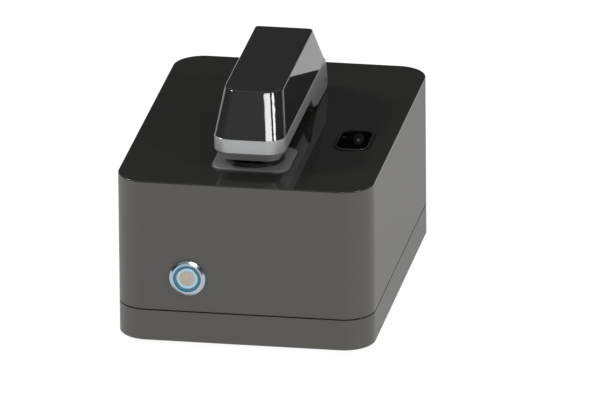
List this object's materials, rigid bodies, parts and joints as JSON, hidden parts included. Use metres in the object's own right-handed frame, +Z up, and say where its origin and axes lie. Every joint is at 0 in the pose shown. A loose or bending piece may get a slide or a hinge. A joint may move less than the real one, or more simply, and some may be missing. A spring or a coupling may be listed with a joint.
{
  "type": "micro-volume spectrophotometer",
  "caption": "Bench micro-volume spectrophotometer: box body, glossy top, swing-up measuring arm over a pedestal, cuvette port and illuminated push button.",
  "frame": {"origin": "on the bench, under the middle of the body: the centre of the bounding box's bottom face", "axes": "+X to the instrument's right, +Y to its back, +Z up; the push button faces -Y"},
  "size_m": [0.155, 0.2226, 0.1508],
  "materials": {
    "case_grey": "satin fine powder coat",
    "panel_black": "high gloss",
    "cover_black": "high gloss",
    "matte_black": "fine moulded texture",
    "aluminium_satin": "satin anodised",
    "steel": "machined",
    "screw_steel": "zinc plated",
    "rubber": "soft black",
    "led_blue": "translucent, lit blue",
    "led_pale": "translucent, lit pale blue",
    "brass": "machined",
    "board": "green solder mask",
    "chips": "moulded",
    "optic_glass": "polished",
    "mirror": "front silvered",
    "fibre_jacket": "smooth jacket",
    "black_anodised": "black anodised",
    "magnet": "nickel plated"
  },
  "bodies": {
    "base": {"base_screws": "screw_steel", "base_tray": "case_grey", "beam_lenses": "optic_glass", "board_parts": "chips", "board_standoffs": "brass", "button_bezel": "aluminium_satin", "button_led_ring": "led_blue", "button_nut": "steel", "button_switch": "matte_black", "chassis_plate": "aluminium_satin", "chassis_screws": "screw_steel", "cuvette_fibre": "fibre_jacket", "cuvette_guides": "aluminium_satin", "cuvette_spring": "steel", "cuvette_well": "black_anodised", "detector_board": "board", "diffraction_grating": "mirror", "feet": "rubber", "flash_lamp": "optic_glass", "hinge_block": "black_anodised", "hinge_bushes": "brass", "hinge_screws": "screw_steel", "lamp_housing": "aluminium_satin", "lens_barrels": "aluminium_satin", "lift_motor": "steel", "main_board": "board", "main_housing": "case_grey", "motor_bracket": "aluminium_satin", "pedestal_boss": "cover_black", "pedestal_guide": "black_anodised", "port_bezel": "cover_black", "power_jack": "matte_black", "rear_plate": "black_anodised", "rear_plate_screws": "screw_steel", "receiving_fibre": "fibre_jacket", "spectrometer_body": "black_anodised", "spectrometer_lid": "black_anodised", "spectrometer_mirrors": "mirror", "stage_magnet": "magnet", "stage_plate": "aluminium_satin", "top_panel": "panel_black", "usb_socket": "steel"},
    "arm": {"arm_frame": "aluminium_satin", "arm_cover": "cover_black", "arm_underside": "matte_black", "upper_pedestal": "steel", "upper_ferrule": "steel", "arm_magnet": "magnet", "cover_posts": "matte_black", "arm_screws": "screw_steel", "hinge_pin": "steel", "arm_fibre": "fibre_jacket"},
    "power_button": {"button_cap": "steel", "cap_light_ring": "led_pale"},
    "pedestal_lift": {"lower_pedestal": "steel", "lower_ferrule": "steel", "lift_carriage": "aluminium_satin", "lift_nut": "brass"},
    "drive_screw": {"lead_screw": "steel"}
  },
  "joints": [
    {"name": "arm_hinge", "type": "hinge", "parent": "base", "child": "arm", "pos_m": [0, 0.0605, 0.1108], "axis": [-1, 0, 0], "range_deg": [0, 85]},
    {"name": "power_button_press", "type": "slide", "parent": "base", "child": "power_button", "axis": [0, 1, 0], "range_m": [0, 0.0012], "stiffness_N_per_m": 1500},
    {"name": "lead_screw_turn", "type": "hinge", "parent": "base", "child": "drive_screw", "pos_m": [0, -0.0394, 0.0842], "axis": [0, 0, -1], "range_deg": [0, 650]},
    {"name": "pedestal_raise", "type": "slide", "parent": "base", "child": "pedestal_lift", "axis": [0, 0, 1], "range_m": [0, 0.0009]}
  ],
  "couplings": [
    {"joint": "lead_screw_turn", "follows": "pedestal_raise", "rad_per_m": 12566}
  ]
}
